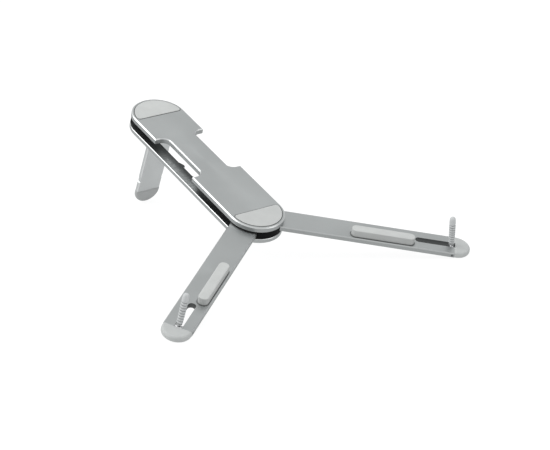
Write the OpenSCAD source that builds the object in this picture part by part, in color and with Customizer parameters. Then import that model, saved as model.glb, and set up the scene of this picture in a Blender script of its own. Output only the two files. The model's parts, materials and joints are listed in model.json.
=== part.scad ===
// Folding three-legged laptop stand.
// A flat two-plate body carries two front legs that swing out of the gap
// between its plates, and one rear leg that swings down out of its lower
// plate. Each front leg has a raised rest pad and a flip-up stop pin.
// Body coordinates: the origin is the middle of the front end on the top
// face, +x to the right, +y to the rear, z normal to the plates. The whole
// body is then tilted so that its three feet stand on the plane z = 0.

/* [Body] */
// Length of the body plates
body_l = 183; // [176:1:190]
// Width of the body plates
body_w = 45; // [45:0.1:46]
// Thickness of the upper plate
top_t = 4.3; // [4.1:0.1:4.6]
// Open gap between the two plates
gap_t = 6.3; // [6.3:0.05:6.6]
// Thickness of the lower plate
bot_t = 3.6; // [3.6:0.1:4.2]
// Chamfer on the upper edge of the upper plate
top_chamfer = 0.8; // [0.5:0.05:1.2]
// Chamfer on the other plate edges
small_chamfer = 0.35; // [0.2:0.05:0.6]

/* [Side notches] */
// Front end of the side notches
notch_y0 = 77.2; // [76:0.2:77.4]
// Rear end of the side notches
notch_y1 = 130.7; // [130.4:0.1:132]
// Half width of the neck between the notches
neck_half = 12.2; // [11.8:0.05:12.3]
// Fillet radius in the notch corners
notch_r = 6.5; // [6.3:0.1:6.8]

/* [Body pads] */
// Radius of the two body pads
pad_r = 20.2; // [19:0.1:20.6]
// Distance from the body end to a pad's straight edge
pad_chord = 23; // [22.5:0.1:25]
// Height of the pads above the upper plate
pad_proud = 0.4; // [0.2:0.05:0.6]
// Depth of the pad pockets
pad_pocket = 1.2; // [0.8:0.05:1.4]

/* [Front legs] */
// Distance of each leg pivot from the middle
pivot_x = 11.25; // [11.2:0.01:11.4]
// Distance of the leg pivots from the front end
pivot_y = 17.1; // [16.6:0.1:17.4]
// Width of the legs
leg_w = 22.2; // [21.8:0.05:22.3]
// Thickness of the front legs
leg_t = 4.1; // [3.8:0.05:4.2]
// Angle of the open front legs below the cross direction
leg_splay = 36; // [30:1:40]
// Length from the pivot to the end of the foot cap
leg_l = 155; // [150:0.5:156]
// Where the foot cap starts, measured from the pivot
cap_u = 142.3; // [142:0.1:142.6]
// Thickness of the foot caps
cap_t = 5; // [4.6:0.1:5.1]

/* [Leg pads] */
// Start of the leg pad, measured from the pivot
lpad_u0 = 61.8; // [61.6:0.1:63]
// End of the leg pad, measured from the pivot
lpad_u1 = 110.8; // [108:0.1:111]
// Width of the leg pad
lpad_w = 8.2; // [6:0.1:8.4]

/* [Stop pins] */
// Distance of the stop pin's axle from the leg pivot
pin_u = 140.6; // [140.4:0.05:140.7]
// Length of the stop pin from its axle to its tip
pin_l = 28; // [24:0.5:28]
// Radius of the ribs on the stop pin
pin_r = 2.5; // [2:0.05:2.55]
// Lean of the raised stop pin towards the hub
pin_lean = 10.5; // [8:0.5:14]

/* [Rear leg] */
// Distance of the rear leg's axle from the front end
rear_y = 153.9; // [153:0.1:154.5]
// Thickness of the rear leg
rear_t = 3.5; // [3.2:0.05:3.5]
// Angle between the open rear leg and the rearward direction
rear_open = 83.6; // [80:0.2:88]

/* [Stance] */
// Tilt of the body when the stand is open
tilt = 17.6; // [16:0.1:19]

/* [Hidden] */
$fn = 64;
e = 0.01;

// levels in body coordinates
br = body_w / 2;
z_gap1 = -top_t;
z_gap0 = -top_t - gap_t;
z_bot0 = z_gap0 - bot_t;
z_mid = (z_gap0 + z_gap1) / 2;
lz1 = z_mid + leg_t / 2;
lz0 = z_mid - leg_t / 2;
lr = leg_w / 2;
side_clear = (gap_t - leg_t) / 2;
rz = z_bot0 + rear_t / 2;

// foot caps
cap_b = 2.1;
cap_c = leg_l - lr;
cap_u1 = cap_c;

// pivot hardware
post_r = 4;
bush_r = 5.2;
washer_r = 6.6;
spring_t = 0.45;
pin_slot = pin_r + 0.4;
stop_rad = 8.7;
stop_r = 1;

// the stand rests on three feet: the height of the front feet sets the lift,
// and the rear leg is as long as it must be to reach the same plane
fc = [pivot_x + cap_c * cos(leg_splay), pivot_y - cap_c * sin(leg_splay), z_mid];
lift = -fc[1] * sin(tilt) - (fc[2] - cap_t / 2 + cap_b) * cos(tilt)
     + (lr - cap_b) * sin(tilt) + cap_b;
dD = -sin(tilt) * cos(rear_open) + cos(tilt) * sin(rear_open);
dN = -sin(tilt) * sin(rear_open) - cos(tilt) * cos(rear_open);
rear_c = (lift - (-rear_y * sin(tilt) - rz * cos(tilt))
       - (lr - cap_b) * dD - (cap_t / 2 - cap_b) * abs(dN) - cap_b) / dD;
rear_l = rear_c + lr;
rear_cap_s = rear_c - (cap_c - cap_u);
slot_half = 12.05;
slot_y1 = rear_y + rear_t / 2 * (sin(rear_open) + cos(rear_open) * (1 + cos(rear_open)) / sin(rear_open)) + 0.06;
slot_y0 = rear_y - rear_l - 1.0;
nib_s = 49;
// the box around the open stand is centred on the origin
y_front = fc[1] * cos(tilt) - (lr - cap_b) * cos(tilt) - cap_b
        - (z_mid + cap_t / 2 - cap_b) * sin(tilt);
y_back = rear_y * cos(tilt) - rz * sin(tilt)
       + (rear_c + lr - cap_b) * (cos(rear_open) * cos(tilt) + sin(rear_open) * sin(tilt))
       + (cap_t / 2 - cap_b) * (sin(rear_open) * cos(tilt) - cos(rear_open) * sin(tilt)) + cap_b;
y_shift = -(y_front + y_back) / 2;

// ---- placement -------------------------------------------------------

module stand() { translate([0, y_shift, lift]) rotate([tilt, 0, 0]) children(); }
module right_side() { stand() children(); }
module left_side() { stand() mirror([1, 0, 0]) children(); }
// leg coordinates: x along the leg from its pivot, y across it
module on_leg() { translate([pivot_x, pivot_y, 0]) rotate([0, 0, -leg_splay]) children(); }
// pin coordinates: z along the raised pin from its axle
module on_pin() { on_leg() translate([pin_u, 0, z_mid]) rotate([0, -pin_lean, 0]) children(); }
// rear leg coordinates: y along the leg from its axle, z towards the rear
module on_rear() { stand() translate([0, rear_y, rz]) rotate([-rear_open, 0, 0]) children(); }

// ---- shapes ----------------------------------------------------------

// round-ended bar with chamfered edges, along y between two end centres
module bar_y(y0, y1, r, z0, z1, ct, cb) {
    h = z1 - z0;
    for (y = [y0, y1]) translate([0, y, z0])
        rotate_extrude($fn = 96) polygon([[0, 0], [r - cb, 0], [r, cb], [r, h - ct], [r - ct, h], [0, h]]);
    translate([0, y1, z0]) rotate([90, 0, 0]) linear_extrude(y1 - y0)
        polygon([[-r + cb, 0], [-r, cb], [-r, h - ct], [-r + ct, h], [r - ct, h], [r, h - ct], [r, cb], [r - cb, 0]]);
}

// round-cornered opening along y, with corners of radius r
module slot_2d(x0, x1, y0, y1, r) {
    translate([x0 + r, y0]) square([x1 - x0 - 2 * r, y1 - y0]);
    translate([x0, y0 + r]) square([x1 - x0, y1 - y0 - 2 * r]);
    for (x = [x0 + r, x1 - r], y = [y0 + r, y1 - r]) translate([x, y]) circle(r);
}

// side notch with a chamfered rim, open towards +x
module notch_cut() {
    c = top_chamfer * 0.9;
    r = notch_r;
    for (y = [notch_y0 + r, notch_y1 - r]) translate([neck_half + r, y, 0]) {
        translate([0, 0, -top_t - 1]) cylinder(h = top_t + 2, r = r);
        translate([0, 0, -c]) cylinder(h = c + 1, r1 = r, r2 = r + c + 1);
    }
    // straight inner wall
    translate([0, notch_y1 - r, 0]) rotate([90, 0, 0]) linear_extrude(notch_y1 - notch_y0 - 2 * r)
        polygon([[neck_half + r + 1, -top_t - 1], [neck_half, -top_t - 1], [neck_half, -c], [neck_half - c - 1, 1], [neck_half + r + 1, 1]]);
    // end walls
    translate([neck_half + r, 0, 0]) rotate([90, 0, 90]) linear_extrude(br)
        polygon([[notch_y0, -top_t - 1], [notch_y0, -c], [notch_y0 - c - 1, 1], [notch_y1 + c + 1, 1], [notch_y1, -c], [notch_y1, -top_t - 1]]);
}

// D-shaped pad outline: flat side towards +y at distance d from the round end
module d_2d(r, d, rc) {
    yc = d - rc;
    xf = sqrt((r - rc) * (r - rc) - (yc - br) * (yc - br));
    yt = br + (yc - br) * r / (r - rc);
    intersection() {
        translate([0, br]) circle(r, $fn = 96);
        translate([-r, br - r]) square([2 * r, yt - br + r]);
    }
    translate([-xf, yt - 1]) square([2 * xf, d - yt + 1]);
    for (x = [-xf, xf]) translate([x, yc]) circle(rc);
}
module at_rear_end() { translate([0, body_l, 0]) mirror([0, 1, 0]) children(); }

front_screws = [[0, 7.2]];
rear_screws = [[0, 177.6], [-9.5, 176.2], [9.5, 176.2]];

// flat-head screw along z, head up at z = 0
module flat_screw(r, hr, l) {
    difference() {
        rotate_extrude($fn = 32) polygon([[0, 0], [hr, 0], [r, -(hr - r)], [r, -l], [0, -l]]);
        translate([0, 0, -0.8]) cylinder(h = 1, r = hr * 0.45, $fn = 6);
    }
}
// matching countersunk hole
module flat_hole(r, hr, l) {
    rotate_extrude($fn = 32) polygon([[0, 0.5], [hr + 0.1, 0.5], [hr + 0.1, -0.05], [r + 0.1, -(hr - r) - 0.05], [r + 0.1, -l], [0, -l]]);
}

// ---- body ------------------------------------------------------------

module top_plate() {
    color([0.67, 0.68, 0.68]) stand() difference() {
        bar_y(br, body_l - br, br, -top_t, 0, top_chamfer, small_chamfer);
        notch_cut();
        mirror([1, 0, 0]) notch_cut();
        translate([0, 0, -pad_pocket]) linear_extrude(2) d_2d(pad_r + 0.45, pad_chord + 0.5, 2.9);
        at_rear_end() translate([0, 0, -pad_pocket]) linear_extrude(2) d_2d(pad_r + 0.45, pad_chord + 0.5, 2.9);
        for (s = [-1, 1]) translate([s * pivot_x, pivot_y, -pad_pocket]) flat_hole(1.5, 2.9, 6);
        for (p = concat(front_screws, rear_screws)) translate([p[0], p[1], -pad_pocket]) flat_hole(1.25, 2.4, 6);
    }
}

module bottom_plate() {
    color([0.66, 0.67, 0.67]) stand() difference() {
        union() {
            difference() {
                bar_y(br, body_l - br, br, z_bot0, z_gap0, small_chamfer, small_chamfer);
                // opening for the rear leg, round at its front end
                translate([0, slot_y0 + slot_half, z_bot0 - 1]) cylinder(h = bot_t + 2, r = slot_half, $fn = 96);
                translate([-slot_half, slot_y0 + slot_half, z_bot0 - 1])
                    cube([2 * slot_half, slot_y1 - slot_y0 - slot_half, bot_t + 2]);
            }
            // nib on each long edge of the opening
            for (s = [-1, 1]) translate([0, 0, z_bot0]) linear_extrude(bot_t)
                polygon([for (q = [[slot_half + 1, 5.4], [slot_half, 5.4], [slot_half - 1.85, 1.0], [slot_half - 1.85, -0.9], [slot_half, -1.7], [slot_half + 1, -1.7]]) [s * q[0], rear_y - nib_s + q[1]]]);
        }
        // seats of the pivot posts and of the stop dowels
        for (s = [-1, 1]) {
            translate([s * pivot_x, pivot_y, z_gap0 - 2.6]) cylinder(h = 4, r = 2.75);
            translate([s * (pivot_x + stop_rad), pivot_y, z_gap0 - 2]) cylinder(h = 4, r = stop_r);
        }
        // threaded seats of the spacer screws
        for (p = concat(front_screws, rear_screws)) translate([p[0], p[1], z_gap0 - 2.6]) cylinder(h = 4, r = 1.25);
        // axle hole, drilled from the right edge
        translate([-18, rear_y, rz]) rotate([0, 90, 0]) cylinder(h = 50, r = 1);
    }
}

module front_pad() {
    color([0.79, 0.8, 0.79]) stand() d_pad();
}
module rear_pad() {
    color([0.79, 0.8, 0.79]) stand() at_rear_end() d_pad();
}
module d_pad() {
    translate([0, 0, -pad_pocket]) linear_extrude(pad_pocket + pad_proud - 0.25) d_2d(pad_r, pad_chord, 2.5);
    translate([0, 0, -pad_pocket]) linear_extrude(pad_pocket + pad_proud - 0.1) d_2d(pad_r - 0.1, pad_chord - 0.1, 2.4);
    translate([0, 0, -pad_pocket]) linear_extrude(pad_pocket + pad_proud) d_2d(pad_r - 0.25, pad_chord - 0.25, 2.25);
}

// black spacer between the two hubs, behind the front edge
module front_spacer() {
    color([0.06, 0.065, 0.07]) stand() difference() {
        translate([0, br, z_gap0]) cylinder(h = gap_t, r = br - 0.7, $fn = 96);
        for (s = [-1, 1]) {
            translate([s * pivot_x, pivot_y, z_gap0 - 1]) cylinder(h = gap_t + 2, r = lr + 0.35, $fn = 96);
            // everything that the swinging leg passes over
            translate([s * pivot_x, pivot_y, z_gap0 - 1]) mirror([s < 0 ? 1 : 0, 0, 0]) rotate([0, 0, -leg_splay])
                translate([0, -lr - 0.35, 0]) cube([60, 80, gap_t + 2]);
        }
        translate([-40, pivot_y - 6, z_gap0 - 1]) cube([80, 80, gap_t + 2]);
        for (p = front_screws) translate([p[0], p[1], z_gap0 - 1]) cylinder(h = gap_t + 2, r = 1.35);
    }
}

// metal spacer that closes the rear end of the gap
module rear_spacer() {
    color([0.66, 0.67, 0.67]) stand() difference() {
        translate([0, body_l - br, z_gap0]) cylinder(h = gap_t, r = br - 0.3, $fn = 96);
        // clear of the foot caps' path
        for (s = [-1, 1]) translate([s * pivot_x, pivot_y, z_gap0 - 1]) {
            cylinder(h = gap_t + 2, r = leg_l + 0.5, $fn = 180);
        }
        translate([-40, 0, z_gap0 - 1]) cube([80, body_l - br, gap_t + 2]);
        for (p = rear_screws) translate([p[0], p[1], z_gap0 - 1]) cylinder(h = gap_t + 2, r = 1.35);
    }
}

module pivot_posts() {
    color([0.6, 0.6, 0.61]) stand() for (s = [-1, 1]) translate([s * pivot_x, pivot_y, 0]) difference() {
        union() {
            translate([0, 0, z_gap0]) cylinder(h = gap_t, r = post_r);
            translate([0, 0, z_gap0 - 2.6]) cylinder(h = 3, r = 2.75);
        }
        translate([0, 0, z_gap1 - 5.6]) cylinder(h = 6, r = 1.5);
    }
}

module pivot_screws() {
    color([0.7, 0.7, 0.71]) stand() for (s = [-1, 1])
        translate([s * pivot_x, pivot_y, -pad_pocket]) flat_screw(1.5, 2.9, 8);
}

module spacer_screws() {
    color([0.7, 0.7, 0.71]) stand() for (p = concat(front_screws, rear_screws))
        translate([p[0], p[1], -pad_pocket]) flat_screw(1.25, 2.4, top_t - pad_pocket + gap_t + 2.4);
}

module ring(z, h, ro, ri) {
    translate([0, 0, z]) difference() { cylinder(h = h, r = ro); translate([0, 0, -1]) cylinder(h = h + 2, r = ri); }
}

module friction_washers() {
    color([0.15, 0.15, 0.16]) stand() for (s = [-1, 1]) translate([s * pivot_x, pivot_y, 0]) {
        ring(lz1, side_clear, washer_r, post_r + 0.05);
        ring(z_gap0 + spring_t, side_clear - spring_t, washer_r, post_r + 0.05);
    }
}

module spring_washers() {
    color([0.55, 0.55, 0.56]) stand() for (s = [-1, 1]) translate([s * pivot_x, pivot_y, 0])
        ring(z_gap0, spring_t, washer_r - 0.4, post_r + 0.05);
}

// dowels that end the swing of the front legs
module swing_stops() {
    color([0.6, 0.6, 0.61]) stand() for (s = [-1, 1])
        translate([s * (pivot_x + stop_rad), pivot_y, z_gap0 - 2]) cylinder(h = 2 + side_clear + 1.4, r = stop_r);
}

module rear_axle() {
    color([0.6, 0.6, 0.61]) stand() translate([-18, rear_y, rz]) rotate([0, 90, 0]) cylinder(h = 39.8, r = 1);
}

// ---- legs ------------------------------------------------------------

// round-ended solid with fully rounded edges, for the foot caps
module cap_solid(x0, xc) {
    h = cap_t;
    b = cap_b;
    translate([xc, 0, -h / 2]) rotate_extrude($fn = 96) cap_profile(h, b);
    translate([x0, 0, -h / 2]) rotate([90, 0, 90]) linear_extrude(xc - x0) {
        cap_profile(h, b);
        mirror([1, 0]) cap_profile(h, b);
    }
}
module cap_profile(h, b) {
    square([lr - b, h]);
    translate([0, b]) square([lr, h - 2 * b]);
    intersection() {
        union() for (y = [b, h - b]) translate([lr - b, y]) circle(b, $fn = 48);
        square([lr + 1, h]);
    }
}

module foot_cap(x0, xc, t) {
    difference() {
        cap_solid(x0, xc);
        translate([x0 - lr * 3, -lr - 1, -10]) cube([lr * 3, 2 * lr + 2, 20]);
        // pocket for the tongue of the leg
        tongue(x0, xc, t, 1);
    }
}
module tongue(x0, xc, t, back) {
    translate([x0 - back, -lr + 1.6, -t / 2 + 0.5]) cube([xc - x0 + back, 2 * lr - 3.2, t - 1]);
    translate([xc, 0, -t / 2 + 0.5]) cylinder(h = t - 1, r = lr - 1.6);
}

module leg() {
    difference() {
        union() {
            difference() {
                rotate([0, 0, -90]) bar_y(0, cap_c, lr, lz0, lz1, 0.7, 0.5);
                translate([cap_u, -lr - 1, lz0 - 1]) cube([40, 2 * lr + 2, leg_t + 2]);
            }
            translate([0, 0, z_mid]) tongue(cap_u, cap_c, leg_t, 1);
        }
        // hub bore
        translate([0, 0, lz0 - 1]) cylinder(h = leg_t + 2, r = bush_r);
        // groove for the swing stop
        translate([0, 0, lz0 - 1]) rotate([0, 0, -98]) rotate_extrude(angle = 142, $fn = 96)
            translate([stop_rad - stop_r - 0.15, 0]) square([2 * stop_r + 0.3, 1 + 1.7]);
        // slot that takes the folded stop pin
        translate([0, 0, lz0 - 1]) linear_extrude(leg_t + 2) {
            translate([pin_u - pin_l + 2.3, -pin_slot]) square([pin_l + 0.2, 2 * pin_slot]);
            translate([pin_u - pin_l + 2.3, 0]) circle(pin_slot);
        }
        // cross hole for the stop pin's axle
        translate([pin_u, 0, z_mid]) rotate([90, 0, 0]) cylinder(h = 40, r = 1, center = true);
        // seat of the rest pad
        translate([0, 0, lz1 - lpad_seat]) linear_extrude(3) lpad_2d(-0.35);
    }
}

lpad_v0 = -9.4;
lpad_seat = 1.1;
module lpad_2d(i) {
    r = lpad_w / 2 - i - 0.3;
    slot_2d(lpad_u0 + i, lpad_u1 - i, lpad_v0 + i, lpad_v0 + lpad_w - i, r);
}
module leg_pad() {
    z1 = pad_proud;
    n = 5;
    b = 1.3;
    translate([0, 0, lz1 - lpad_seat]) linear_extrude(z1 - b - lz1 + lpad_seat) lpad_2d(0);
    for (k = [1:n]) translate([0, 0, z1 - b - 0.2]) linear_extrude(b * sin(90 * k / n) + 0.2) lpad_2d(b * (1 - cos(90 * k / n)));
}

module hub_bush() {
    color([0.12, 0.12, 0.13]) ring(lz0, leg_t, bush_r, post_r + 0.04);
}

module right_leg() { color([0.64, 0.65, 0.65]) right_side() on_leg() leg(); }
module left_leg() { color([0.64, 0.65, 0.65]) left_side() on_leg() leg(); }
module right_hub_bush() { right_side() on_leg() hub_bush(); }
module left_hub_bush() { left_side() on_leg() hub_bush(); }
module right_leg_pad() { color([0.79, 0.8, 0.79]) right_side() on_leg() leg_pad(); }
module left_leg_pad() { color([0.79, 0.8, 0.79]) left_side() on_leg() leg_pad(); }

module front_cap() {
    difference() {
        translate([0, 0, z_mid]) foot_cap(cap_u, cap_c, leg_t);
        // room for the stop pin's eye
        translate([pin_u - 3, -pin_slot, z_mid - 5]) cube([5.5, 2 * pin_slot, 10]);
    }
}
module right_foot_cap() { color([0.78, 0.79, 0.78]) right_side() on_leg() front_cap(); }
module left_foot_cap() { color([0.78, 0.79, 0.78]) left_side() on_leg() front_cap(); }

// ---- stop pins -------------------------------------------------------

module stop_axle() {
    translate([pin_u, 0, z_mid]) rotate([90, 0, 0]) cylinder(h = 2 * lr - 3, r = 1, center = true);
}
module right_stop_axle() { color([0.45, 0.45, 0.46]) right_side() on_leg() stop_axle(); }
module left_stop_axle() { color([0.45, 0.45, 0.46]) left_side() on_leg() stop_axle(); }

module stop_core() {
    difference() {
        union() {
            rotate([90, 0, 0]) cylinder(h = 4, r = 2.05, center = true);
            cylinder(h = pin_l - 4, r = 1.4, $fn = 40);
        }
        rotate([90, 0, 0]) cylinder(h = 10, r = 1.04, center = true);
    }
}
module right_stop_core() { color([0.7, 0.7, 0.71]) right_side() on_pin() stop_core(); }
module left_stop_core() { color([0.7, 0.7, 0.71]) left_side() on_pin() stop_core(); }

// ribbed sleeve with a smooth rounded tip
rib_n = 8;
rib_p = 2.1;
s0 = 3.1;
function groove(k) = s0 + 1.6 + rib_p * k;
module stop_sleeve() {
    tip = 2.3;
    difference() {
        union() {
            rotate_extrude($fn = 48) polygon(concat(
                [[0, s0], [pin_r - 0.6, s0], [pin_r - 0.4, s0 + 0.5]],
                [for (k = [0:rib_n - 1], q = [[0, 0.45], [-0.6, 0.75], [-0.6, 1.2], [0, 1.5]])
                    [pin_r - 0.4 + 0.4 * min(1, (k + 1) / 5) + q[0], groove(k) - 0.6 + q[1] - 0.3]],
                [[pin_r, pin_l - 6.2], [tip + 0.08, pin_l - 3.2], [tip, pin_l - tip], [0, pin_l - tip]]));
            translate([0, 0, pin_l - tip]) sphere(tip, $fn = 48);
        }
        translate([0, 0, -1]) cylinder(h = pin_l - 3, r = 1.4, $fn = 40);
    }
}
module right_stop_sleeve() { color([0.76, 0.77, 0.77]) right_side() on_pin() stop_sleeve(); }
module left_stop_sleeve() { color([0.76, 0.77, 0.77]) left_side() on_pin() stop_sleeve(); }

module stop_washers() {
    for (s = [-1, 1]) translate([pin_u, s * 2.45, z_mid]) rotate([90, 0, 0]) difference() {
        cylinder(h = 0.8, r = 2.15, center = true, $fn = 40);
        cylinder(h = 2, r = 1.04, center = true, $fn = 40);
    }
}
module right_stop_washers() { color([0.7, 0.7, 0.71]) right_side() on_leg() stop_washers(); }
module left_stop_washers() { color([0.7, 0.7, 0.71]) left_side() on_leg() stop_washers(); }

// ---- rear leg --------------------------------------------------------

module rear_leg() {
    color([0.66, 0.67, 0.67]) on_rear() difference() {
        union() {
            difference() {
                bar_y(0, rear_c, lr, -rear_t / 2, rear_t / 2, 0.85, 0.85);
                translate([-20, -20, -5]) cube([40, 20, 10]);
                translate([-lr - 1, rear_cap_s, -5]) cube([2 * lr + 2, 40, 10]);
            }
            rotate([0, 90, 0]) cylinder(h = 2 * lr, r = rear_t / 2, center = true);
            rotate([0, 0, 90]) tongue(rear_cap_s, rear_c, rear_t, 1);
        }
        rotate([0, 90, 0]) cylinder(h = 40, r = 1.04, center = true);
        // small recess in each long edge, which clears the nibs of the body
        for (s = [-1, 1]) translate([0, 0, -5]) linear_extrude(10)
            polygon([for (q = [[lr + 1, -5.9], [lr + 0.05, -5.9], [slot_half - 2.1, -1.4], [slot_half - 2.1, 1.3], [lr + 0.05, 2.2], [lr + 1, 2.2]]) [s * q[0], nib_s + q[1]]]);
    }
}
module rear_foot_cap() {
    color([0.72, 0.73, 0.73]) on_rear() rotate([0, 0, 90]) foot_cap(rear_cap_s, rear_c, rear_t);
}

// ---- all pieces ------------------------------------------------------

top_plate();
bottom_plate();
front_pad();
rear_pad();
front_spacer();
rear_spacer();
pivot_posts();
pivot_screws();
spacer_screws();
friction_washers();
spring_washers();
swing_stops();
rear_axle();
rear_leg();
rear_foot_cap();
left_leg();
left_hub_bush();
left_leg_pad();
left_foot_cap();
left_stop_axle();
left_stop_core();
left_stop_sleeve();
left_stop_washers();
right_leg();
right_hub_bush();
right_leg_pad();
right_foot_cap();
right_stop_axle();
right_stop_core();
right_stop_sleeve();
right_stop_washers();
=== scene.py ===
import bpy, bmesh, json, math
from mathutils import Matrix, Vector


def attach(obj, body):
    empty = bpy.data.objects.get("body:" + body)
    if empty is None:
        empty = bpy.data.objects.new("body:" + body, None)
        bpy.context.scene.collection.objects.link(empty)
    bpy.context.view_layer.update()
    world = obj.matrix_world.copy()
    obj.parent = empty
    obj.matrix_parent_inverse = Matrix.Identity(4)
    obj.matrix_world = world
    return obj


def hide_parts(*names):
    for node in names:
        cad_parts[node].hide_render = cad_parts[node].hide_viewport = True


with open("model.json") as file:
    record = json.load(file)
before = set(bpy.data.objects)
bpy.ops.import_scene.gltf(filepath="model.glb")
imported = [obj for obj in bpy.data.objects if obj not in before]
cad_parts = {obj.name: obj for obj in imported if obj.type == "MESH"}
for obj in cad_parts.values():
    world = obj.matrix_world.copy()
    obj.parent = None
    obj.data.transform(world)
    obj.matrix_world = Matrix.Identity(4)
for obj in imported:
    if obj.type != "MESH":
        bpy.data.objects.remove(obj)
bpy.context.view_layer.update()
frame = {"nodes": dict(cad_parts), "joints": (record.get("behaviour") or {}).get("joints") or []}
nodes = frame["nodes"]
joints = {j["name"]: j for j in frame["joints"]}
scene = bpy.context.scene

# ---------------------------------------------------------------- frames
# Body frame of the stand in metres: +X right, +Y rear along the body, +Z out of the upper plate.
NORMAL = Vector(joints["right_leg_swing"]["axis"]).normalized()
TILT = math.atan2(-NORMAL.y, NORMAL.z)
PIVOT = Vector(joints["right_leg_swing"]["pos_m"])
PIVOT_B = Vector((0.01125, 0.0171, -0.00745))
RX = Matrix.Rotation(TILT, 3, "X")


def W(p):
    return PIVOT + RX @ (Vector(p) - PIVOT_B)


BODY = Matrix.Translation(W((0, 0, 0))) @ RX.to_4x4()


def leg_matrix(s):
    """x along the leg from its pivot, y across it, z along the plate normal; s = 1 right, -1 left (mirrored)."""
    m = Matrix.Translation(Vector((PIVOT_B.x, PIVOT_B.y, 0))) @ Matrix.Rotation(math.radians(-36), 4, "Z")
    flip = Matrix.Diagonal((s, 1, 1, 1))
    return BODY @ flip @ m


def pin_matrix(s):
    m = Matrix.Translation(Vector((PIVOT_B.x, PIVOT_B.y, 0))) @ Matrix.Rotation(math.radians(-36), 4, "Z")
    m = m @ Matrix.Translation(Vector((0.1406, 0, PIVOT_B.z))) @ Matrix.Rotation(math.radians(-10.5), 4, "Y")
    return BODY @ Matrix.Diagonal((s, 1, 1, 1)) @ m


# ---------------------------------------------------------------- camera
CAM = Vector((-0.7904195, -0.8812793, 0.8358225))
ROWS = [Vector(r) for r in ((0.80820843, -0.56298721, 0.17275574),
                            (-0.21908118, -0.55974054, -0.79918331),
                            (0.54662837, 0.60805916, -0.57572692))]
right, down, ahead = [RX @ r for r in ROWS]
cam_data = bpy.data.cameras.new("camera")
cam_data.sensor_fit = "HORIZONTAL"
cam_data.sensor_width = 36.0
cam_data.lens = 1936.476 * 36.0 / 550.0
cam_data.clip_end = 50
cam = bpy.data.objects.new("camera", cam_data)
scene.collection.objects.link(cam)
m = Matrix((right, -down, -ahead)).transposed().to_4x4()
m.translation = W(CAM)
cam.matrix_world = m
scene.camera = cam

# ---------------------------------------------------------------- node helpers


class Nodes:
    """Small helper to build a node tree."""

    def __init__(self, mat):
        mat.use_nodes = True
        self.tree = mat.node_tree
        self.tree.nodes.clear()

    def add(self, kind, **values):
        n = self.tree.nodes.new(kind)
        for k, v in values.items():
            if k.startswith("i_"):
                n.inputs[k[2:].replace("_", " ")].default_value = v
            else:
                setattr(n, k, v)
        return n

    def link(self, a, b):
        self.tree.links.new(a, b)

    def math(self, op, a, b=None, c=None, clamp=False):
        n = self.add("ShaderNodeMath", operation=op, use_clamp=clamp)
        for i, v in enumerate((a, b, c)):
            if v is None:
                continue
            if isinstance(v, (int, float)):
                n.inputs[i].default_value = v
            else:
                self.link(v, n.inputs[i])
        return n.outputs[0]

    def vmath(self, op, a, b=None):
        n = self.add("ShaderNodeVectorMath", operation=op)
        for i, v in enumerate((a, b)):
            if v is None:
                continue
            if isinstance(v, (tuple, Vector)):
                n.inputs[i].default_value = v
            else:
                self.link(v, n.inputs[i])
        return n

    def smooth(self, x, lo, hi, a=0.0, b=1.0):
        n = self.add("ShaderNodeMapRange", interpolation_type="SMOOTHSTEP")
        self.link(x, n.inputs["Value"])
        for k, v in (("From Min", lo), ("From Max", hi), ("To Min", a), ("To Max", b)):
            n.inputs[k].default_value = v
        return n.outputs[0]

    def noise(self, vec, scale, detail=3.0, rough=0.55):
        n = self.add("ShaderNodeTexNoise")
        self.link(vec, n.inputs["Vector"])
        n.inputs["Scale"].default_value = scale
        n.inputs["Detail"].default_value = detail
        n.inputs["Roughness"].default_value = rough
        return n.outputs["Fac"]

    def mix(self, fac, a, b):
        n = self.add("ShaderNodeMix", data_type="RGBA")
        if isinstance(fac, float):
            n.inputs["Factor"].default_value = fac
        else:
            self.link(fac, n.inputs["Factor"])
        for key, v in (("A", a), ("B", b)):
            s = [i for i in n.inputs if i.name == key and i.type == "RGBA"][0]
            if isinstance(v, tuple):
                s.default_value = (*v, 1.0)
            else:
                self.link(v, s)
        return [o for o in n.outputs if o.type == "RGBA"][0]

    def place(self, frame_matrix):
        """Object-space position and normal in the axes of frame_matrix, in millimetres."""
        tc = self.add("ShaderNodeTexCoord")
        inv = frame_matrix.inverted()
        p = self.vmath("SCALE", tc.outputs["Object"])
        p.inputs["Scale"].default_value = 1.0
        rows = [inv[i] for i in range(3)]
        comps, ncomps = [], []
        for r in rows:
            d = self.vmath("DOT_PRODUCT", tc.outputs["Object"], (r[0], r[1], r[2]))
            comps.append(self.math("MULTIPLY", self.math("ADD", d.outputs["Value"], r[3]), 1000.0))
            e = self.vmath("DOT_PRODUCT", tc.outputs["Normal"], (r[0], r[1], r[2]))
            ncomps.append(e.outputs["Value"])
        out = []
        for c in (comps, ncomps):
            n = self.add("ShaderNodeCombineXYZ")
            for i in range(3):
                self.link(c[i], n.inputs[i])
            out.append(n.outputs[0])
        self.tree.nodes.remove(p)
        return out[0], comps, out[1], ncomps

    def stretch(self, vec, s):
        return self.vmath("MULTIPLY", vec, s).outputs["Vector"]

    def bump(self, height, strength, distance):
        n = self.add("ShaderNodeBump")
        n.inputs["Strength"].default_value = strength
        n.inputs["Distance"].default_value = distance
        self.link(height, n.inputs["Height"])
        return n.outputs["Normal"]

    def finish(self, bsdf):
        out = self.add("ShaderNodeOutputMaterial")
        self.link(bsdf.outputs[0], out.inputs["Surface"])


def colour(hexlike):
    return tuple(hexlike)


# ---------------------------------------------------------------- materials


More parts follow.
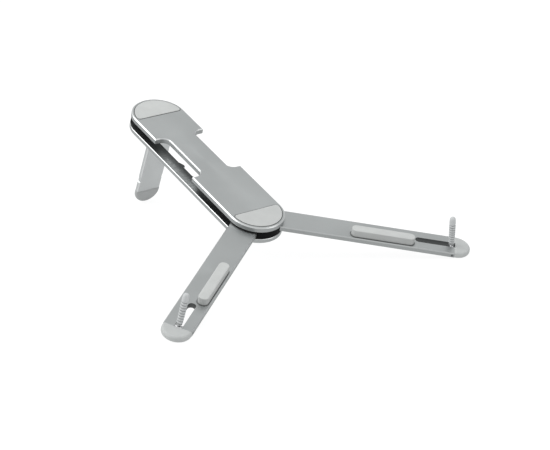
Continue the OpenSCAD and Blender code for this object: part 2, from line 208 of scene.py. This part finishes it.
def satin_metal(name, frame_matrix, base, rough, brush_axis=0, cut=0.0, cut_rough=0.2, grain=0.5, aniso=0.35, inner=None, cut_tone=(0.88, 0.89, 0.89), side_shade=1.0, slot=False, pocket=False):
    """Satin anodised aluminium: faint drawn grain along one axis, blasted speckle, cloudy tone,
    and edges that were cut bright after anodising."""
    mat = bpy.data.materials.new(name)
    n = Nodes(mat)
    vec, comp, nrm, nc = n.place(frame_matrix)
    s = [1.0, 1.0, 1.0]
    s[brush_axis] = 0.018
    drawn = n.noise(n.stretch(vec, tuple(s)), 9.0, 4.0, 0.6)
    speckle = n.noise(vec, 14.0, 2.0, 0.6)
    cloud = n.noise(vec, 0.035, 2.0, 0.5)
    # chamfers lie between the face's normal and the sides'
    tilt_ = n.math("ABSOLUTE", nc[2])
    facing = n.smooth(tilt_, 0.90, 0.97)
    side = n.smooth(tilt_, 0.22, 0.10)
    flat = n.math("ADD", facing, side, clamp=True)
    edge = n.math("SUBTRACT", 1.0, flat, clamp=True)
    edge = n.math("MULTIPLY", edge, cut)
    tone = n.math("ADD", n.math("MULTIPLY", drawn, 0.5 * grain), n.math("MULTIPLY", speckle, 0.5 * grain))
    tone = n.math("ADD", n.math("MULTIPLY", tone, 0.6), n.math("MULTIPLY", cloud, 0.4))
    low = tuple(c * 0.93 for c in base)
    high = tuple(min(1.0, c * 1.06) for c in base)
    ramp = n.smooth(tone, 0.25, 0.75)
    col = n.mix(ramp, low, high)
    col = n.mix(edge, col, cut_tone)
    if inner:
        # painted shade: faces inside the gap between the plates are darkened, the shade broken up by streaky noise
        lo, hi, dark = inner
        z = comp[2]
        inside = n.math("MULTIPLY", n.smooth(z, lo - 0.02, lo + 0.02), n.smooth(z, hi + 0.02, hi - 0.02))
        inside = n.math("MULTIPLY", inside, n.smooth(tilt_, 0.6, 0.9))
        shade_streaks = n.noise(n.stretch(vec, (0.05, 0.9, 1.0)), 1.6, 3.0, 0.6)
        shade = n.smooth(shade_streaks, 0.25, 0.75, dark * 0.82, dark * 1.18)
        dim = n.math("ADD", n.math("MULTIPLY", inside, n.math("SUBTRACT", shade, 1.0)), 1.0)
        scaled = n.add("ShaderNodeVectorMath", operation="SCALE")
        n.link(col, scaled.inputs[0])
        n.link(dim, scaled.inputs["Scale"])
        col = scaled.outputs[0]
    # painted shade: the sawn and machined walls are made a little darker than the blasted faces
    wall = n.math("ADD", n.math("MULTIPLY", side, side_shade - 1.0), 1.0)
    if slot:
        # painted shade on the milled walls of the stop pin's slot
        u, v = comp[0], comp[1]
        near = n.math("MULTIPLY", n.smooth(n.math("ABSOLUTE", v), 3.4, 3.1), n.smooth(u, 111.2, 111.6))
        near = n.math("MULTIPLY", near, n.smooth(u, 143.0, 142.6))
        near = n.math("MULTIPLY", near, n.smooth(tilt_, 0.5, 0.3))
        wall = n.math("MULTIPLY", wall, n.math("ADD", n.math("MULTIPLY", near, -0.68), 1.0))
        # painted shade: a dark line along the seat of the rest pad, standing for the contact shadow at its foot
        qu = n.math("MAXIMUM", n.math("SUBTRACT", n.math("ABSOLUTE", n.math("SUBTRACT", u, 86.3)), 20.7), 0.0)
        qv = n.math("MAXIMUM", n.math("SUBTRACT", n.math("ABSOLUTE", n.math("ADD", v, 5.3)), 0.3), 0.0)
        rim = n.math("SUBTRACT", n.math("SQRT", n.math("ADD", n.math("MULTIPLY", qu, qu), n.math("MULTIPLY", qv, qv))), 3.8)
        rim = n.math("MULTIPLY", n.smooth(rim, 0.95, 0.55), n.smooth(comp[2], -5.9, -5.2))
        wall = n.math("MULTIPLY", wall, n.math("ADD", n.math("MULTIPLY", rim, -0.55), 1.0))
    if pocket:
        # painted shade on the walls and floor of the two pads' pockets, dark in the seam
        py = n.math("SUBTRACT", 91.5, n.math("ABSOLUTE", n.math("SUBTRACT", comp[1], 91.5)))
        dy = n.math("SUBTRACT", py, 22.5)
        rad = n.math("SQRT", n.math("ADD", n.math("MULTIPLY", comp[0], comp[0]), n.math("MULTIPLY", dy, dy)))
        seam = n.math("MULTIPLY", n.smooth(rad, 21.3, 21.0), n.smooth(py, 24.2, 23.9))
        seam = n.math("MULTIPLY", seam, n.math("MULTIPLY", n.smooth(comp[2], -0.02, -0.10), n.smooth(comp[2], -2.6, -2.3)))
        # the painted shade is left off the front pad's straight side
        seam = n.math("MULTIPLY", seam, n.math("MAXIMUM", n.smooth(comp[1], 60.0, 90.0), n.smooth(comp[1], 23.1, 22.7)))
        wall = n.math("MULTIPLY", wall, n.math("ADD", n.math("MULTIPLY", seam, -0.86), 1.0))
    shaded = n.add("ShaderNodeVectorMath", operation="SCALE")
    n.link(col, shaded.inputs[0])
    n.link(wall, shaded.inputs["Scale"])
    col = shaded.outputs[0]
    rgh = n.math("ADD", n.math("MULTIPLY", n.math("SUBTRACT", drawn, 0.5), 0.10 * grain), rough)
    rgh = n.math("ADD", rgh, n.math("MULTIPLY", n.math("SUBTRACT", speckle, 0.5), 0.12 * grain))
    one = n.math("SUBTRACT", 1.0, edge)
    rgh = n.math("ADD", n.math("MULTIPLY", rgh, one), n.math("MULTIPLY", edge, cut_rough), clamp=True)
    height = n.math("ADD", n.math("MULTIPLY", drawn, 0.6), n.math("MULTIPLY", speckle, 0.4))
    b = n.add("ShaderNodeBsdfPrincipled")
    b.inputs["Metallic"].default_value = 1.0
    b.inputs["Anisotropic"].default_value = aniso
    n.link(col, b.inputs["Base Color"])
    n.link(rgh, b.inputs["Roughness"])
    n.link(n.bump(height, 0.035 * grain, 0.0001), b.inputs["Normal"])
    n.finish(b)
    return mat


def silicone(name, frame_matrix, base, rough=0.55, pores=1.0, dusty=0.04, grooves=False, seam=None):
    """Moulded silicone: matt skin with fine spark-eroded texture, a breath of dust, and soft sheen."""
    mat = bpy.data.materials.new(name)
    n = Nodes(mat)
    vec, comp, nrm, nc = n.place(frame_matrix)
    fine = n.noise(vec, 7.0, 3.0, 0.6)
    skin = n.noise(vec, 2.2, 3.0, 0.5)
    cloud = n.noise(vec, 0.09, 2.0, 0.5)
    tone = n.math("ADD", n.math("MULTIPLY", fine, 0.35), n.math("MULTIPLY", cloud, 0.65))
    low = tuple(c * (1 - dusty) for c in base)
    high = tuple(min(1, c * (1 + dusty)) for c in base)
    col = n.mix(n.smooth(tone, 0.3, 0.7), low, high)
    if grooves:
        # painted shade in the valleys between the ribs
        rad = n.math("SQRT", n.math("ADD", n.math("MULTIPLY", comp[0], comp[0]), n.math("MULTIPLY", comp[1], comp[1])))
        grown = n.math("DIVIDE", n.math("SUBTRACT", comp[2], 3.1), 11.0, clamp=True)
        crest = n.math("ADD", n.math("MULTIPLY", grown, 0.24), 2.26)
        depth = n.math("SUBTRACT", crest, rad)
        on_ribs = n.smooth(comp[2], 21.9, 21.4)
        dark = n.math("MULTIPLY", n.smooth(depth, 0.10, 0.50), on_ribs)
        s_ = n.add("ShaderNodeVectorMath", operation="SCALE")
        n.link(col, s_.inputs[0])
        n.link(n.math("ADD", n.math("MULTIPLY", dark, -0.42), 1.0), s_.inputs["Scale"])
        col = s_.outputs[0]
    if seam:
        # painted shade low on the side wall, where the moulding sits in its seat
        foot, reach, amount, flank_shade = seam
        foot_shade = n.math("MULTIPLY", n.smooth(comp[2], foot + reach, foot + reach * 0.4), n.smooth(n.math("ABSOLUTE", nc[2]), 0.8, 0.5))
        s_ = n.add("ShaderNodeVectorMath", operation="SCALE")
        n.link(col, s_.inputs[0])
        # painted shade: the upright flanks are made darker than the top
        flank = n.smooth(n.math("ABSOLUTE", nc[2]), 0.75, 0.35)
        foot_and_flank_shade = n.math("MULTIPLY", n.math("ADD", n.math("MULTIPLY", foot_shade, -amount), 1.0), n.math("ADD", n.math("MULTIPLY", flank, -flank_shade), 1.0))
        n.link(foot_and_flank_shade, s_.inputs["Scale"])
        col = s_.outputs[0]
    rgh = n.math("ADD", n.math("MULTIPLY", n.math("SUBTRACT", skin, 0.5), 0.12), rough)
    height = n.math("ADD", n.math("MULTIPLY", fine, 0.7), n.math("MULTIPLY", skin, 0.3))
    b = n.add("ShaderNodeBsdfPrincipled")
    b.inputs["Sheen Weight"].default_value = 0.08
    b.inputs["Sheen Roughness"].default_value = 0.5
    b.inputs["IOR"].default_value = 1.41
    n.link(col, b.inputs["Base Color"])
    n.link(rgh, b.inputs["Roughness"])
    n.link(n.bump(height, 0.12 * pores, 0.00008), b.inputs["Normal"])
    n.finish(b)
    return mat


def moulded_black(name, frame_matrix, base=(0.012, 0.013, 0.014), rough=0.5, specular=0.3):
    """Black moulded nylon: fine flow streaks and a spark-eroded skin."""
    mat = bpy.data.materials.new(name)
    n = Nodes(mat)
    vec, comp, nrm, nc = n.place(frame_matrix)
    flow = n.noise(n.stretch(vec, (0.25, 0.25, 1.6)), 2.0, 3.0, 0.5)
    skin = n.noise(vec, 8.0, 2.0, 0.6)
    col = n.mix(n.smooth(flow, 0.3, 0.7), tuple(c * 0.7 for c in base), tuple(c * 1.5 for c in base))
    rgh = n.math("ADD", n.math("MULTIPLY", n.math("SUBTRACT", skin, 0.5), 0.2), rough, clamp=True)
    b = n.add("ShaderNodeBsdfPrincipled")
    b.inputs["Specular IOR Level"].default_value = specular
    n.link(col, b.inputs["Base Color"])
    n.link(rgh, b.inputs["Roughness"])
    n.link(n.bump(skin, 0.2, 0.00008), b.inputs["Normal"])
    n.finish(b)
    return mat


def turned_steel(name, frame_matrix, base=(0.62, 0.62, 0.63), rough=0.24):
    """Turned steel: fine tool rings and a slightly uneven polish."""
    mat = bpy.data.materials.new(name)
    n = Nodes(mat)
    vec, comp, nrm, nc = n.place(frame_matrix)
    rings = n.noise(n.stretch(vec, (0.6, 0.6, 14.0)), 3.0, 2.0, 0.5)
    smear = n.noise(vec, 1.2, 3.0, 0.5)
    col = n.mix(n.smooth(smear, 0.3, 0.7), tuple(c * 0.9 for c in base), tuple(min(1, c * 1.08) for c in base))
    rgh = n.math("ADD", n.math("MULTIPLY", rings, 0.14), rough - 0.07, clamp=True)
    b = n.add("ShaderNodeBsdfPrincipled")
    b.inputs["Metallic"].default_value = 1.0
    n.link(col, b.inputs["Base Color"])
    n.link(rgh, b.inputs["Roughness"])
    n.link(n.bump(rings, 0.06, 0.0001), b.inputs["Normal"])
    n.finish(b)
    return mat


def give(name, mat):
    o = nodes[name]
    if not o.material_slots:
        o.data.materials.append(mat)
    for s in o.material_slots:
        s.material = mat


FACE_ROUGH = 0.44
REAR_AXLE = Vector(joints["rear_leg_fold"]["pos_m"])
REAR = Matrix.Translation(REAR_AXLE) @ RX.to_4x4() @ Matrix.Rotation(math.radians(-83.6), 4, "X") @ Matrix.Rotation(math.radians(90), 4, "Z")
LEG = {"left": leg_matrix(-1), "right": leg_matrix(1)}
PLATE = (0.60, 0.618, 0.618)
LEGC = (0.575, 0.592, 0.592)
give("top_plate", satin_metal("plate_top", BODY, PLATE, FACE_ROUGH, 1, cut=0.8, cut_rough=0.32, grain=0.8, inner=(-4.33, -4.27, 0.40), side_shade=0.84, pocket=True))
give("bottom_plate", satin_metal("plate_bottom", BODY, PLATE, 0.36, 1, cut=0.85, cut_rough=0.30, grain=0.8, inner=(-10.64, -10.56, 0.68), side_shade=0.90))
for side in ("left", "right"):
    L = LEG[side]
    give(side + "_leg", satin_metal(side + "_leg_metal", L, LEGC, FACE_ROUGH, 0, cut=0.35, cut_rough=0.24, grain=0.8, side_shade=0.85, slot=True))
    give(side + "_leg_pad", silicone(side + "_pad_silicone", L, (0.70, 0.712, 0.702), seam=(-5.4, 0.75, 0.5, 0.17)))
    give(side + "_foot_cap", silicone(side + "_cap_silicone", L, (0.64, 0.655, 0.65), pores=1.4))
    give(side + "_stop_sleeve", silicone(side + "_sleeve_silicone", pin_matrix(1 if side == "right" else -1), (0.72, 0.735, 0.74), pores=0.8, grooves=True))
    give(side + "_hub_bush", moulded_black(side + "_bush_polymer", L, (0.03, 0.03, 0.032), 0.4))
    give(side + "_stop_washers", turned_steel(side + "_washer_steel", L, (0.86, 0.86, 0.87), 0.16))
    give(side + "_stop_axle", turned_steel(side + "_axle_steel", L, (0.42, 0.42, 0.43)))
    give(side + "_stop_core", turned_steel(side + "_core_steel", L, (0.86, 0.86, 0.87), 0.14))
# painted light: the rear leg's aluminium gets a brighter base than the other legs to make up for the light it misses
give("rear_leg", satin_metal("rear_leg_metal", REAR, (0.735, 0.75, 0.752), FACE_ROUGH, 0, cut=0.9, cut_rough=0.24, grain=0.8))
# painted shade: the rear cap's silicone is darker than the front caps' to match the shade at the rear foot
give("rear_foot_cap", silicone("rear_cap_silicone", REAR, (0.535, 0.545, 0.545), pores=1.4))
give("front_pad", silicone("front_pad_silicone", BODY, (0.665, 0.675, 0.667), seam=(0.0, 0.26, 0.75, 0.0)))
give("rear_pad", silicone("rear_pad_silicone", BODY, (0.70, 0.712, 0.702), seam=(0.0, 0.20, 0.6, 0.0)))
# black nylon spacer, with painted shade: made near-black and dull, far darker than the other polymer, for the shade
# deep in the front gap
give("front_spacer", moulded_black("front_spacer_nylon_and_shade", BODY, (0.0022, 0.0024, 0.003), 0.62, specular=0.12))
give("rear_spacer", satin_metal("rear_spacer_metal", BODY, (0.50, 0.515, 0.515), 0.40, 2, cut=0.0, grain=0.8))
give("friction_washers", moulded_black("friction_polymer", BODY, (0.03, 0.03, 0.032), 0.4))
for k in ("pivot_posts", "pivot_screws", "spacer_screws", "spring_washers", "swing_stops", "rear_axle"):
    give(k, turned_steel(k + "_steel", BODY))

# ---------------------------------------------------------------- moulded pieces


def lay(name, mesh, matrix, body, mat, node):
    """Puts a finished mesh, made in matrix's axes in metres, on its body in place of the CAD node."""
    mesh.transform(matrix)
    if matrix.determinant() < 0:
        mesh.flip_normals()
    for p in mesh.polygons:
        p.use_smooth = True
    o = bpy.data.objects.new(name, mesh)
    scene.collection.objects.link(o)
    mesh.materials.append(mat)
    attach(o, body)
    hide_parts(node)
    return o


def lathe(name, profile, bore, seg=72):
    """Solid of revolution about z: an outer profile [(r, z)] from its foot to its tip (r = 0), and a blind bore (r, depth)."""
    bm = bmesh.new()
    rings = []
    br_, top = bore
    z0 = profile[0][1]
    inner = [(br_, z0), (br_, top)]
    for r, z in [inner[1], inner[0]] + profile[:-1]:
        rings.append([bm.verts.new((r * math.cos(2 * math.pi * k / seg), r * math.sin(2 * math.pi * k / seg), z)) for k in range(seg)])
    for a, b in zip(rings, rings[1:]):
        for k in range(seg):
            bm.faces.new((a[k], a[(k + 1) % seg], b[(k + 1) % seg], b[k]))
    tip = bm.verts.new((0, 0, profile[-1][1]))
    end = bm.verts.new((0, 0, top))
    for k in range(seg):
        bm.faces.new((rings[-1][k], rings[-1][(k + 1) % seg], tip))
        bm.faces.new((rings[0][(k + 1) % seg], rings[0][k], end))
    bmesh.ops.recalc_face_normals(bm, faces=bm.faces)
    me_ = bpy.data.meshes.new(name)
    bm.to_mesh(me_)
    bm.free()
    return me_


def sleeve_profile():
    """Ribbed sleeve, thinner at its foot: eight rounded ribs, then a smooth domed tip. Millimetres."""
    foot, first, pitch, count, length = 3.1, 4.15, 2.1, 8, 28.0
    pts = [(1.85, foot), (2.0, foot + 0.06), (2.1, foot + 0.2)]
    ribs_end = first + pitch * count
    steps = 14

    def swell(z):
        t = max(0.0, min(1.0, (z - foot) / 11.0))
        return 2.26 + (2.50 - 2.26) * t

    for i in range(steps * count + 1):
        z = first + pitch * i / steps
        ph = (i / steps) % 1.0
        # round crest and a narrower, deep valley
        c = 0.5 - 0.5 * math.cos(2 * math.pi * ph)
        pts.append((swell(z) - 0.62 * (1 - c) ** 3.0, z))
    tip_r = 2.28
    z1 = ribs_end + 0.9
    pts += [(2.20, ribs_end + 0.25), (2.38, ribs_end + 0.55), (2.45, z1)]
    zc = length - tip_r
    for i in range(1, 5):
        t = i / 4
        pts.append((2.45 + (tip_r - 2.45) * t * t, z1 + (zc - z1) * t))
    for i in range(1, 13):
        a = math.pi / 2 * i / 12
        pts.append((tip_r * math.cos(a) if i < 12 else 0.0, zc + tip_r * math.sin(a)))
    return [(r / 1000, z / 1000) for r, z in pts]


def stadium(u0, u1, v0, v1, r, inset, n=20):
    """Rounded rectangle outline, counter-clockwise, moved inwards by inset."""
    out = []
    for cx, cy, a0 in ((u1 - r, v1 - r, 0), (u0 + r, v1 - r, 90), (u0 + r, v0 + r, 180), (u1 - r, v0 + r, 270)):
        for i in range(n + 1):
            a = math.radians(a0 + 90 * i / n)
            out.append((cx + (r - inset) * math.cos(a), cy + (r - inset) * math.sin(a)))
    return out


def stack(name, rings, scale=0.001):
    """Closed solid through outlines of equal length: [(points, z)] from its foot to its top."""
    bm = bmesh.new()
    loops = [[bm.verts.new((x * scale, y * scale, z * scale)) for x, y in pts] for pts, z in rings]
    k_ = len(loops[0])
    for a, b in zip(loops, loops[1:]):
        for k in range(k_):
            bm.faces.new((a[k], a[(k + 1) % k_], b[(k + 1) % k_], b[k]))
    bm.faces.new(list(reversed(loops[0])))
    bm.faces.new(loops[-1])
    bmesh.ops.recalc_face_normals(bm, faces=bm.faces)
    me_ = bpy.data.meshes.new(name)
    bm.to_mesh(me_)
    bm.free()
    return me_


def rest_pad(name):
    """Long rest pad: upright sides, a soft bevel and a flat top that ends in a fine radius. Leg axes, millimetres."""
    u0, u1, v0, v1, r = 61.8, 110.8, -9.4, -1.2, 3.8
    z0, z1 = -6.4, 0.4
    draft, bevel = 0.10, 0.75
    prof = [(0.06, z0), (0.0, z0 + 0.2), (draft * 0.5, z0 + 3.0), (draft, z1 - bevel - 0.1)]
    for i in range(1, 8):
        a = math.pi / 2 * i / 7
        prof.append((draft + bevel * (1 - math.cos(a)), z1 - 0.04 - bevel - 0.06 + (bevel + 0.06) * math.sin(a)))
    prof += [(draft + bevel + 0.5, z1 - 0.02), (draft + bevel + 1.4, z1)]
    return stack(name, [(stadium(u0, u1, v0, v1, r, d), z) for d, z in prof])


def soften(name, node, matrix, voxel, start, mid, thin, smooth=3):
    """A denser copy of a moulded CAD piece whose edges are rounded off, made in its own axes so that flats stay flat.
    """
    src = nodes[node]
    me_ = src.data.copy()
    me_.transform(matrix.inverted())
    o = bpy.data.objects.new(name + "_work", me_)
    scene.collection.objects.link(o)
    low = [min(v.co[i] for v in me_.vertices) for i in range(3)]
    high = [max(v.co[i] for v in me_.vertices) for i in range(3)]
    bm = bmesh.new()
    bm.from_mesh(me_)
    bmesh.ops.remove_doubles(bm, verts=bm.verts, dist=1e-6)
    bm.to_mesh(me_)
    bm.free()
    r = o.modifiers.new("remesh", "REMESH")
    r.mode = "VOXEL"
    r.voxel_size = voxel
    r.use_smooth_shade = True
    sm = o.modifiers.new("smooth", "SMOOTH")
    sm.factor = 0.5
    sm.iterations = smooth
    dg = bpy.context.evaluated_depsgraph_get()
    out = bpy.data.meshes.new_from_object(o.evaluated_get(dg))
    bpy.data.objects.remove(o)
    for v in out.vertices:
        for i in range(3):
            v.co[i] = min(max(v.co[i], low[i]), high[i])
        # the lip thins out towards the metal that it is moulded on
        t = min(1.0, max(0.0, (v.co.x - start) / 0.0016))
        half = thin + (0.0025 - thin) * t * t * (3 - 2 * t)
        z = v.co.z - mid
        v.co.z = mid + max(-half, min(half, z))
    out.name = name
    out.materials.clear()
    return out


def d_outline(inset, n=64):
    """D outline with round corners, moved inwards by inset; flat side towards +y. Millimetres."""
    r, d, rc, br_ = 20.2 - inset, 23.0 - inset, max(0.4, 2.5 - inset), 22.5
    yc = d - rc
    xf = math.sqrt((r - rc) ** 2 - (yc - br_) ** 2)
    a0 = math.atan2(yc - br_, xf)
    out = []
    for i in range(13):
        a = math.pi / 2 + (a0 - math.pi / 2) * i / 12
        out.append((xf + rc * math.cos(a), yc + rc * math.sin(a)))
    for i in range(1, n):
        a = a0 - (math.pi + 2 * a0) * i / n
        out.append((r * math.cos(a), br_ + r * math.sin(a)))
    for i in range(13):
        a = math.pi - a0 + (math.pi / 2 - (math.pi - a0)) * i / 12
        out.append((-xf + rc * math.cos(a), yc + rc * math.sin(a)))
    return out[::-1]


def body_pad(name, rear):
    """D-shaped inlay: upright rim, a fine rolled edge and a barely crowned top. Body axes, millimetres."""
    prof = [(0.05, -1.2), (0.0, -1.1), (0.0, 0.02)]
    for i in range(1, 7):
        a = math.pi / 2 * i / 6
        prof.append((0.32 * (1 - math.cos(a)), 0.02 + 0.32 * math.sin(a)))
    prof += [(0.9, 0.36), (2.2, 0.385)]
    rings = [(d_outline(d), z) for d, z in prof]
    last = rings[-1][0]
    for k, z in ((0.55, 0.395), (0.2, 0.40)):
        rings.append(([(x * k, 11.5 + (y - 11.5) * k) for x, y in last], z))
    if rear:
        rings = [([(-x, 183.0 - y) for x, y in pts], z) for pts, z in rings]
    return stack(name, rings)


def ring_washer(name):
    """Two polished washers with rolled rims on the stop pin's axle. Leg axes, metres."""
    bm = bmesh.new()
    for v_ in (-2.45, 2.45):
        loops = []
        for i in range(48):
            a = 2 * math.pi * i / 48
            loop = []
            sect = [(1.06, -0.36), (1.12, -0.4)]
            sect += [(1.78 + 0.36 * math.cos(math.radians(b)), 0.4 * math.sin(math.radians(b))) for b in range(-90, 91, 20)]
            sect += [(1.12, 0.4), (1.06, 0.36)]
            for r, w in sect:
                loop.append(bm.verts.new(((140.6 + r * math.cos(a)) / 1000, (v_ + w) / 1000, (-7.45 + r * math.sin(a)) / 1000)))
            loops.append(loop)
        for i in range(48):
            p_, q_ = loops[i], loops[(i + 1) % 48]
            for k in range(len(p_)):
                j = (k + 1) % len(p_)
                bm.faces.new((p_[k], p_[j], q_[j], q_[k]))
    bmesh.ops.recalc_face_normals(bm, faces=bm.faces)
    me_ = bpy.data.meshes.new(name)
    bm.to_mesh(me_)
    bm.free()
    return me_


lay("front_inlay_pad", body_pad("front_inlay_pad", False), BODY, "body",
    nodes["front_pad"].material_slots[0].material, "front_pad")
lay("rear_inlay_pad", body_pad("rear_inlay_pad", True), BODY, "body",
    nodes["rear_pad"].material_slots[0].material, "rear_pad")
for side, s in (("left", -1), ("right", 1)):
    L = LEG[side]
    node = side + "_stop_washers"
    lay(side + "_polished_washers", ring_washer(side + "_polished_washers"), L, side + "_leg_body",
        nodes[node].material_slots[0].material, node)
    node = side + "_stop_sleeve"
    lay(side + "_ribbed_sleeve", lathe(side + "_ribbed_sleeve", sleeve_profile(), (0.0014, 0.024)), pin_matrix(s),
        side + "_pin_body", nodes[node].material_slots[0].material, node)
    node = side + "_leg_pad"
    lay(side + "_rest_pad", rest_pad(side + "_rest_pad"), L, side + "_leg_body",
        nodes[node].material_slots[0].material, node)
    node = side + "_foot_cap"
    lay(side + "_moulded_cap", soften(side + "_moulded_cap", node, L, 0.00022, 0.1423, PIVOT_B.z, 0.0021), L, side + "_leg_body",
        nodes[node].material_slots[0].material, node)
REAR_CAP = 0.0622754 - 0.0016
lay("rear_moulded_cap", soften("rear_moulded_cap", "rear_foot_cap", REAR, 0.00022, REAR_CAP, 0.0, 0.0018), REAR, "rear_leg_body",
    nodes["rear_foot_cap"].material_slots[0].material, "rear_foot_cap")

# ---------------------------------------------------------------- stage
me = bpy.data.meshes.new("floor")
bm = bmesh.new()
for k in range(64):
    a = 2 * math.pi * k / 64
    bm.verts.new((7 * math.cos(a), 7 * math.sin(a), 0))
bm.faces.new(bm.verts)
bm.to_mesh(me)
floor = bpy.data.objects.new("floor", me)
scene.collection.objects.link(floor)
fm = bpy.data.materials.new("floor_white")
fn = Nodes(fm)
fb = fn.add("ShaderNodeBsdfPrincipled")
fb.inputs["Base Color"].default_value = (0.20, 0.20, 0.20, 1)
fb.inputs["Roughness"].default_value = 0.9
fb.inputs["Specular IOR Level"].default_value = 0.0
fb.inputs["Emission Color"].default_value = (1, 1, 1, 1)
fb.inputs["Emission Strength"].default_value = 0.90
# the metal mirrors a softer, darker table than the white sweep that is seen
dim = fn.add("ShaderNodeBsdfPrincipled")
dim.inputs["Base Color"].default_value = (0.25, 0.25, 0.25, 1)
dim.inputs["Roughness"].default_value = 0.9
dim.inputs["Specular IOR Level"].default_value = 0.0
dim.inputs["Emission Color"].default_value = (0.985, 1, 1, 1)
dim.inputs["Emission Strength"].default_value = 0.48
path = fn.add("ShaderNodeLightPath")
pick = fn.add("ShaderNodeMixShader")
fn.link(path.outputs["Is Camera Ray"], pick.inputs[0])
fn.link(dim.outputs[0], pick.inputs[1])
fn.link(fb.outputs[0], pick.inputs[2])
fn.finish(pick)
me.materials.append(fm)
floor.location.z = -0.0002

# ---------------------------------------------------------------- light
world = bpy.data.worlds.new("studio")
scene.world = world
wn = Nodes(world)
tc = wn.add("ShaderNodeTexCoord")
aim = tc.outputs["Generated"]
height_ = wn.vmath("DOT_PRODUCT", aim, (0.0, 0.0, 1.0)).outputs["Value"]
# the front side of the room is dimmer near the table and opens up with height
front = wn.smooth(wn.vmath("DOT_PRODUCT", aim, (0.10, -0.995, 0.0)).outputs["Value"], -0.10, 0.55)
low_front = wn.smooth(height_, 0.05, 0.55, 0.20, 0.66)
level = wn.math("ADD", wn.math("MULTIPLY", wn.math("SUBTRACT", low_front, 0.665), front), 0.665)
# a black flag stands low on the right, with a slit of light over the table's edge
right_ = wn.smooth(wn.vmath("DOT_PRODUCT", aim, (0.93, -0.36, 0.0)).outputs["Value"], 0.55, 0.85)
flag = wn.math("MULTIPLY", right_, wn.smooth(height_, 0.34, 0.22))
slit = wn.math("MULTIPLY", flag, wn.math("MULTIPLY", wn.smooth(height_, 0.08, 0.12), wn.smooth(height_, 0.22, 0.18)))
level = wn.math("MULTIPLY", level, wn.math("SUBTRACT", 1.0, wn.math("MULTIPLY", flag, 0.72)))
level = wn.math("ADD", level, wn.math("MULTIPLY", slit, 0.9))
bg = wn.add("ShaderNodeBackground")
bg.inputs["Color"].default_value = (0.985, 1.0, 1.0, 1)
wn.link(level, bg.inputs["Strength"])
wo = wn.add("ShaderNodeOutputWorld")
wn.link(bg.outputs[0], wo.inputs["Surface"])


def softbox(name, where, size, power, target=(0, 0, 0.03)):
    d = bpy.data.lights.new(name, "AREA")
    d.shape = "RECTANGLE"
    d.size, d.size_y = size
    d.energy = power
    o = bpy.data.objects.new(name, d)
    scene.collection.objects.link(o)
    o.location = where
    o.rotation_euler = (Vector(target) - Vector(where)).to_track_quat("-Z", "Y").to_euler()
    return o


softbox("key_back_left", (-2.9, 2.1, 3.3), (3.2, 3.2), 62)
softbox("overhead", (-0.3, -0.2, 3.6), (2.0, 2.0), 16)
softbox("front_strip", (1.65, -2.2, 1.25), (1.5, 0.22), 2.6)

scene.view_settings.view_transform = "Standard"
scene.view_settings.look = "None"
scene.view_settings.exposure = 0.0
scene.view_settings.gamma = 1.0
